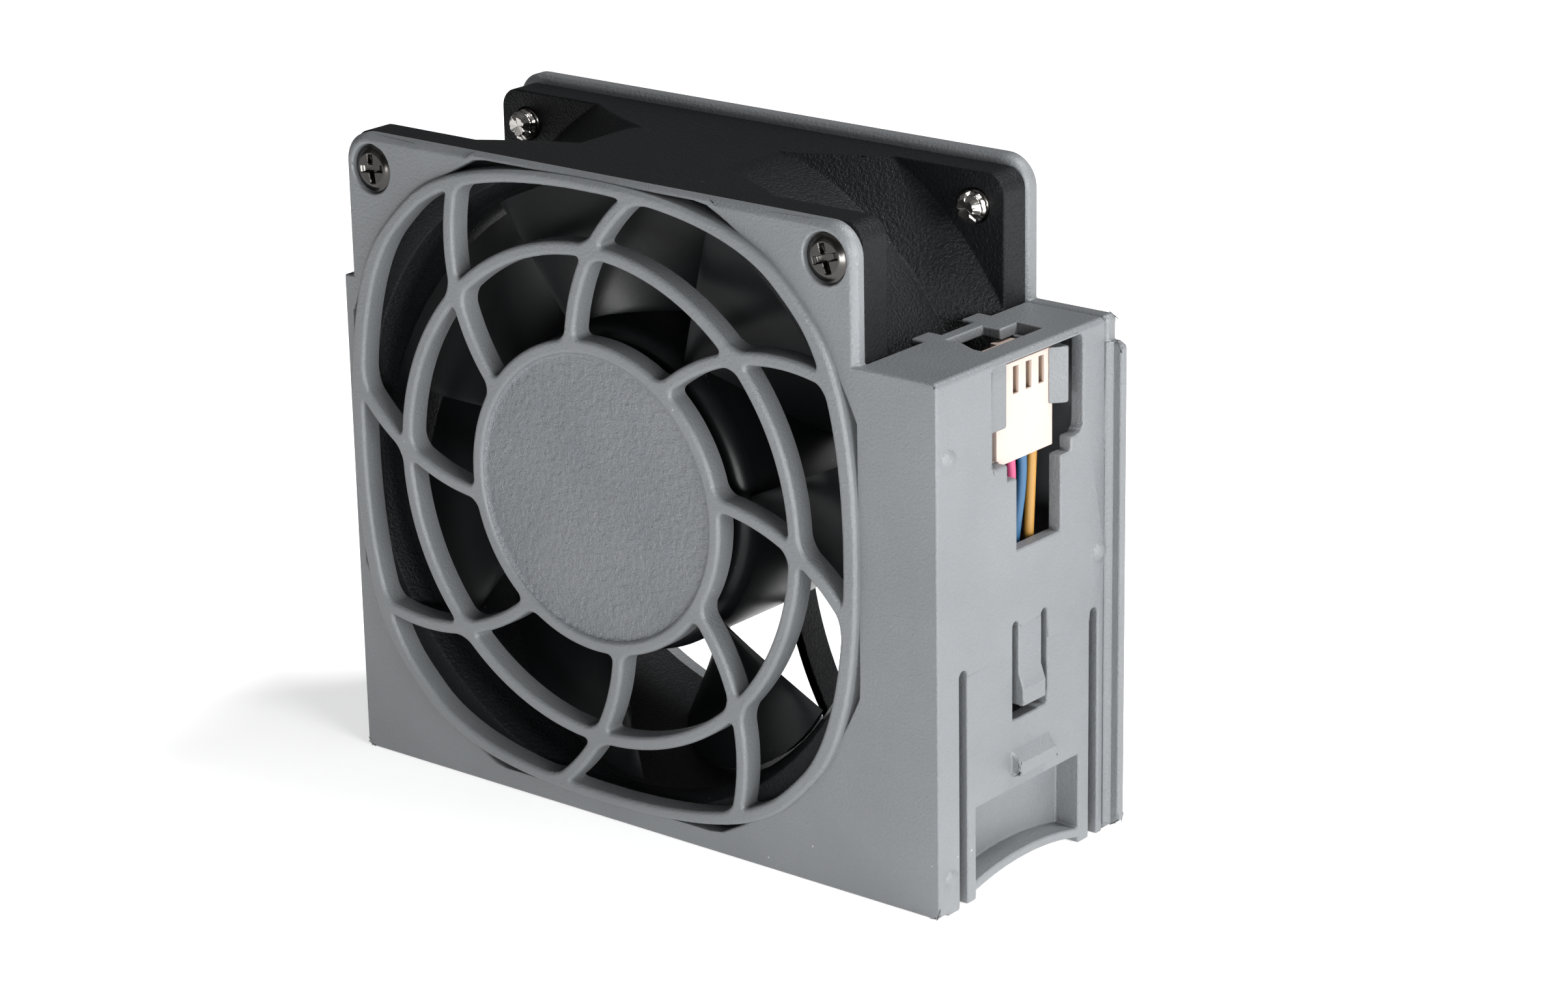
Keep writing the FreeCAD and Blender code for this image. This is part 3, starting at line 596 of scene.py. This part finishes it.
def relief(field, half, w):
    # A sheet over the cells inside the field, drawn in by the roll and snapped to its edge,
    # then a quarter-round edge, a wall and a flat back. Returns points and faces.
    n = int(2 * half / w["step"]) + 1
    line = np.linspace(-half, half, n)
    grid = np.stack(np.meshgrid(line, line, indexing="ij"), -1).reshape(-1, 2)
    level = field(grid) + w["roll"]
    close = np.abs(level) < w["snap"] * w["step"]
    grid[close] -= level[close, None] * slope(field, grid[close])
    inside = (level < 0) | close
    i, j = np.meshgrid(np.arange(n - 1), np.arange(n - 1), indexing="ij")
    cell = np.stack([i * n + j, (i + 1) * n + j, (i + 1) * n + j + 1, i * n + j + 1], -1)
    cell = cell.reshape(-1, 4)
    held = inside[cell]
    quads = cell[held.all(1)]
    three = cell[held.sum(1) == 3]
    missing = np.argmin(inside[three], axis=1)
    order = (missing[:, None] + np.arange(1, 4)) % 4
    triangles = np.take_along_axis(three, order, 1)
    edges = np.concatenate([np.stack([f[:, a], f[:, (a + 1) % f.shape[1]]], 1)
                            for f in (quads, triangles) for a in range(f.shape[1])])
    there = edges[:, 0].astype(np.int64) * n * n + edges[:, 1]
    back = edges[:, 1].astype(np.int64) * n * n + edges[:, 0]
    border = edges[~np.isin(there, back)]
    used = np.unique(np.concatenate([quads.ravel(), triangles.ravel()]))
    numberOf = np.full(n * n, -1)
    numberOf[used] = np.arange(len(used))
    flat = grid[used]
    ring = np.unique(border)
    onEdge = numberOf[ring]
    for _ in range(2):
        edgeLevel = field(flat[onEdge]) + w["roll"]
        flat[onEdge] -= edgeLevel[:, None] * slope(field, flat[onEdge])
    outward = slope(field, flat[onEdge])
    ringNumberOf = np.full(n * n, -1)
    ringNumberOf[ring] = np.arange(len(ring))
    a, b = ringNumberOf[border[:, 0]], ringNumberOf[border[:, 1]]
    points = [np.stack([flat[:, 0], np.full(len(flat), w["front"]), flat[:, 1]], 1)]
    faces = [numberOf[quads], numberOf[triangles]]
    base, before = len(flat), onEdge
    wall = [(w["roll"] * math.sin(t), w["front"] + w["roll"] * (1 - math.cos(t))) for t in w["roundAt"]]
    for out, y in wall + [(w["roll"], w["back"])]:
        at = flat[onEdge] + outward * out
        points.append(np.stack([at[:, 0], np.full(len(at), y), at[:, 1]], 1))
        now = base + np.arange(len(ring))
        base += len(ring)
        faces.append(np.stack([before[a], now[a], now[b], before[b]], 1))
        before = now
    points.append(np.stack([flat[:, 0], np.full(len(flat), w["back"]), flat[:, 1]], 1))
    now = base + onEdge
    faces += [numberOf[quads][:, ::-1] + base, numberOf[triangles][:, ::-1] + base]
    faces.append(np.stack([before[a], now[a], now[b], before[b]], 1))
    return np.concatenate(points), [f for block in faces for f in block.tolist()]


def makeWeb():
    points, faces = relief(webField, webStyle["half"], webStyle)
    web = piece("guard_web", points, faces, "module", "cradle_plastic", ["front_grille"], sharp=50)
    turnOut(web)


def turnedPoints(profile, around):
    # Rows of a profile of (radius, depth) swept round the fan's axis; closed at its ends.
    angle = np.linspace(0, 2 * np.pi, around, endpoint=False)
    rows = [np.stack([r * np.cos(angle), np.full(around, y, dtype=float), r * np.sin(angle)], 1)
            for r, y in profile]
    return np.concatenate(rows), gridFaces(len(profile), around)


def gridFaces(rows, around):
    # Quads between neighbouring rings, and one face across each end.
    i, j = np.meshgrid(np.arange(rows - 1), np.arange(around), indexing="ij")
    a = i * around + j
    b = i * around + (j + 1) % around
    faces = np.stack([a, b, b + around, a + around], -1).reshape(-1, 4).tolist()
    faces.append(list(range(around))[::-1])
    faces.append([(rows - 1) * around + k for k in range(around)])
    return faces


disc = {"pole": 0.05, "floor": -0.3, "bendFrom": 17.55, "bend": 0.6, "edge": 18.6, "back": 1.8, "around": 128}


def makeHubDisc():
    # Sunk floor of the guard's hub, lifting in a small fillet to the hub ring.
    d = disc
    bend = [(d["bendFrom"] + d["bend"] * math.sin(t), d["floor"] - d["bend"] * (1 - math.cos(t)) * 0.6)
            for t in np.linspace(0, 1.5, 6)]
    profile = [(r, d["floor"]) for r in (d["pole"], 6, 12, 17.2)] + bend
    profile += [(d["edge"], -0.5), (d["edge"], d["back"]), (d["pole"], d["back"])]
    points, faces = turnedPoints(profile, d["around"])
    turnOut(piece("guard_disc", points, faces, "module", "cradle_plastic", ["front_grille"], sharp=60,
                  paint="hub_face"))


print("guard")
makeWeb()
makeHubDisc()

# The fan: frame and impeller.
print("fan")


def makeFanFrame():
    finishCopy(merged("fan_frame"), "fan_shell", "module", "fan_plastic", ["fan_frame"],
               rounding["fan"], segments=2, sharp=34)


blades = {"count": 7, "root": 20.4, "tip": 37.9, "lead": (7.2, 0.907), "trail": (-3.7, -1.18), "front": 4.6,
          "back": 25.8, "camber": 0.07, "thick": 0.85, "thin": 0.12, "foot": 17,
          "at": 86.0, "around": 48, "rows": 18}


def bladePoints(turn):
    # Over chord position c and span s: a bowed chord whose ends lean out with distance from
    # the axis, its skin set off either way by a thickness that fades to rounded edges.
    b = blades
    around = np.linspace(0, 2 * np.pi, b["around"], endpoint=False)
    c = 0.5 - 0.5 * np.cos(around)
    rows = []
    for s in np.linspace(0, 1, b["rows"]):
        radius = b["root"] + (b["tip"] - b["root"]) * s
        d = np.full_like(c, radius)
        for _ in range(12):
            front = b["lead"][0] + b["lead"][1] * (d - b["foot"])
            back = b["trail"][0] + b["trail"][1] * (d - b["foot"])
            x = front + (back - front) * c
            d = np.sqrt(np.maximum(radius ** 2 - x ** 2, 1.0))
        length = np.hypot(back - front, b["back"] - b["front"])
        bow = 4 * b["camber"] * length * c * (1 - c)
        nx, ny = -(b["back"] - b["front"]) / length, (back - front) / length
        half = b["thin"] + (b["thick"] - b["thin"]) * np.sqrt(4 * c * (1 - c))
        off = bow + half * np.sign(np.sin(around)) * np.minimum(1, np.abs(np.sin(around)) * 3)
        y = b["front"] + (b["back"] - b["front"]) * c + ny * off
        side = x + nx * off
        grow = radius / np.hypot(side, d)
        rows.append(np.stack([side * grow, y, d * grow], 1))
    p = np.concatenate(rows)
    a = math.radians(turn - 90.0)
    return np.stack([p[:, 0] * -math.cos(a) - p[:, 2] * math.sin(a), p[:, 1],
                     p[:, 0] * -math.sin(a) + p[:, 2] * math.cos(a)], 1)


# The hub cup's section as (radius, depth): closed face, rounded shoulder, wall and inside.
cup = [(0.05, 3.6), (12, 3.6), (18.9, 3.6), (19.6, 3.8), (20.25, 4.25), (20.7, 5.0), (20.9, 5.9),
       (20.9, 16), (20.9, 26.6), (20.7, 26.8), (19.4, 26.8), (19.4, 5.0), (0.05, 5.0)]


def makeImpeller():
    points, faces = turnedPoints(cup, 96)
    turnOut(piece("impeller_hub", points, faces, "rotor", "rotor_plastic", ["impeller"], sharp=50))
    for k in range(blades["count"]):
        points = bladePoints(blades["at"] + k * 360.0 / blades["count"])
        faces = gridFaces(blades["rows"], blades["around"])
        turnOut(piece("impeller_blade_%d" % (k + 1), points, faces, "rotor", "rotor_plastic",
                      ["impeller"], sharp=60))


makeFanFrame()
makeImpeller()

# Screws: a cross recess in every head, a thread and a rough tip on each rear shank.
print("screws")
screwStyle = {"at": 35.75, "head": 2.9, "shank": 2.03, "cross": 1.75, "slot": 0.42, "deep": 0.75,
              "pitch": 0.9, "tip": 26.87, "under": 34.6, "rearFace": 35.35}


def crossDepth(x, z, s):
    # How far the driver's cross is sunk: two tapering slots, deeper towards the middle.
    arm = np.minimum(np.maximum(np.abs(x) / s["cross"], np.abs(z) / s["slot"]),
                     np.maximum(np.abs(z) / s["cross"], np.abs(x) / s["slot"]))
    r = np.hypot(x, z)
    return s["deep"] * (1 - smoothstep(0.82, 1.12, arm)) * (1 - 0.45 * smoothstep(0.5, 1.75, r))


def ringAt(x0, r, y, angle):
    return np.stack([x0 + r * np.cos(angle), np.full(len(angle), y), screwStyle["at"] + r * np.sin(angle)], 1)


def crossAt(r, angle, spin):
    # The recess depth round a ring of the head, and the ring's own two coordinates.
    x, z = r * np.cos(angle), r * np.sin(angle)
    sunk = crossDepth(x * math.cos(spin) + z * math.sin(spin), z * math.cos(spin) - x * math.sin(spin),
                      screwStyle)
    return x, z, sunk


def makeFrontScrew(x0, name, spin):
    s = screwStyle
    around, radii = 144, np.concatenate([np.linspace(0.02, 2.3, 40), np.linspace(2.35, s["head"], 8)])
    angle = np.linspace(0, 2 * np.pi, around, endpoint=False)
    rows = []
    for r in radii:
        x, z, sunk = crossAt(r, angle, spin)
        y = 0.1 + 0.45 * smoothstep(1.9, 2.95, r) + sunk
        rows.append(np.stack([x0 + x, y, s["at"] + z], 1))
    for r, y in ((s["head"], 0.99), (s["shank"], 1.0), (s["shank"], 8.0)):
        rows.append(ringAt(x0, r, y, angle))
    turnOut(piece(name, np.concatenate(rows), gridFaces(len(rows), around), "module", "screw_nickel",
                  ["front_screws"], sharp=35, paint="screw_head"))


def makeRearScrew(x0, name, seed):
    # Radius is a coarse thread wave along the shank, cut by flutes and roughened near the tip.
    s = screwStyle
    low, high = s["tip"], s["under"]
    around, rowsCount = 96, 110
    angle = np.linspace(0, 2 * np.pi, around, endpoint=False)
    rows = [ringAt(x0, 0.0, low + 0.2, angle)]
    for t in np.linspace(0, 1, rowsCount):
        y = low + (high - low) * t
        wave = np.abs(((y / s["pitch"] + angle / (2 * np.pi)) % 1.0) * 2 - 1)
        flute = smoothstep(0.55, 0.95, np.cos(3 * angle + seed)) * (1 - smoothstep(0.0, 0.35, t))
        torn = np.sin(5 * angle + seed * 3) * np.sin(9.0 * t + 7 * angle) * (1 - smoothstep(0.0, 0.25, t))
        taper = 0.62 + 0.38 * smoothstep(-0.02, 0.1, t)
        r = s["shank"] * taper - 0.2 * wave - 0.35 * flute - 0.1 * np.abs(torn)
        rows.append(ringAt(x0, r, y, angle))
    for r, y in ((s["head"], high + 0.02), (s["head"], 35.1)):
        rows.append(ringAt(x0, r, y, angle))
    for r in np.linspace(s["head"] - 0.15, 0.02, 44):
        x, z, sunk = crossAt(r, angle, seed)
        y = s["rearFace"] - 0.6 * sunk - 0.1 * smoothstep(2.2, 2.9, r)
        rows.append(np.stack([x0 + x, y, s["at"] + z], 1))
    turnOut(piece(name, np.concatenate(rows), gridFaces(len(rows), around), "module", "screw_nickel",
                  ["rear_screws"], sharp=35))


for k, x0 in enumerate((-screwStyle["at"], screwStyle["at"])):
    makeFrontScrew(x0, "front_screw_%d" % (k + 1), (0.12, 0.3)[k])
    makeRearScrew(x0, "rear_screw_%d" % (k + 1), (0.4, 2.1)[k])

# Connector, the two springs and the wires.
print("connector")
finishCopy(merged("connector_housing"), "connector_body", "module", "connector_nylon",
           ["connector_housing"], rounding["connector"], segments=2)
finishCopy(merged("latch_arm"), "latch_plate", "latch", "cradle_plastic", ["latch_arm"], rounding["cradle"])
finishCopy(merged("spring_finger"), "finger_strip", "finger", "cradle_plastic", ["spring_finger"],
           rounding["finger"])

wiring = {"radius": 0.61, "start": (49.0, 14.71, 14.0), "pitch": 2.54, "angle": -9.0, "mouth": 44.5,
          "inner": 13.0, "trough": 29.64, "bend": 0.45, "bendSteps": 24, "around": 20}
routes = {
    "wire_black": {"way": 0, "level": -1.95, "turns": [(48.8, 15.9, 3.0), (47.6, 16.4, -8.85)]},
    "wire_red": {"way": 1, "level": -0.65, "turns": [(49.05, 18.0, 6.0), (47.3, 17.9, -7.55)]},
    "wire_blue": {"way": 2, "level": 0.65, "turns": [(49.05, 20.1, 6.8), (47.6, 19.4, -6.25)]},
    "wire_yellow": {"way": 3, "level": 1.95, "turns": [(48.6, 21.7, -4.95)]},
}


def wirePath(route):
    # Straight runs joined by tangent arcs, as a dense row of points.
    w = wiring
    a = math.radians(w["angle"])
    along = np.array([math.cos(a), 0, math.sin(a)])
    across = np.array([-math.sin(a), 0, math.cos(a)])
    lift = across * route["level"] + np.array([0, w["trough"], 0])
    start = np.array(w["start"]) + np.array([0, w["pitch"] * route["way"], 0])
    corners = [start] + [np.array(t) for t in route["turns"]]
    corners += [along * (w["mouth"] / along[0]) + lift, along * w["inner"] + lift]
    rows = [corners[0]]
    for before, here, after in zip(corners, corners[1:], corners[2:]):
        back, ahead = before - here, after - here
        run = w["bend"] * min(np.linalg.norm(back), np.linalg.norm(ahead))
        back, ahead = back / np.linalg.norm(back), ahead / np.linalg.norm(ahead)
        half = math.acos(np.clip(back @ ahead, -1, 1)) / 2
        middle = (back + ahead) / np.linalg.norm(back + ahead)
        centre = here + middle * run / math.cos(half)
        first, last = here + back * run - centre, here + ahead * run - centre
        span = math.pi - 2 * half
        for t in np.linspace(0, 1, w["bendSteps"]):
            swung = np.sin((1 - t) * span) * first + np.sin(t * span) * last
            rows.append(centre + swung / math.sin(span))
    rows.append(corners[-1])
    return np.array(rows)


def tube(path, radius, around):
    # Rings across the path, carried along it without twisting.
    heading = np.gradient(path, axis=0)
    heading /= np.linalg.norm(heading, axis=1)[:, None]
    side = np.cross(heading[0], (0, 1, 0))
    angle = np.linspace(0, 2 * np.pi, around, endpoint=False)
    rows = []
    for p, h in zip(path, heading):
        side = side - h * (side @ h)
        side /= np.linalg.norm(side)
        other = np.cross(h, side)
        rows.append(p + radius * (np.cos(angle)[:, None] * side + np.sin(angle)[:, None] * other))
    return np.concatenate(rows), gridFaces(len(rows), around)


for name, route in routes.items():
    points, faces = tube(wirePath(route), wiring["radius"], wiring["around"])
    turnOut(piece(name + "_tube", points, faces, "module", name, [name], sharp=60))

# The CAD nodes carried over get their finishes too.
for part in frame["record"]["subparts"]:
    obj = frame["nodes"][part["node"]]
    obj.data.materials.clear()
    obj.data.materials.append(paintOf(part["material_slot"]))
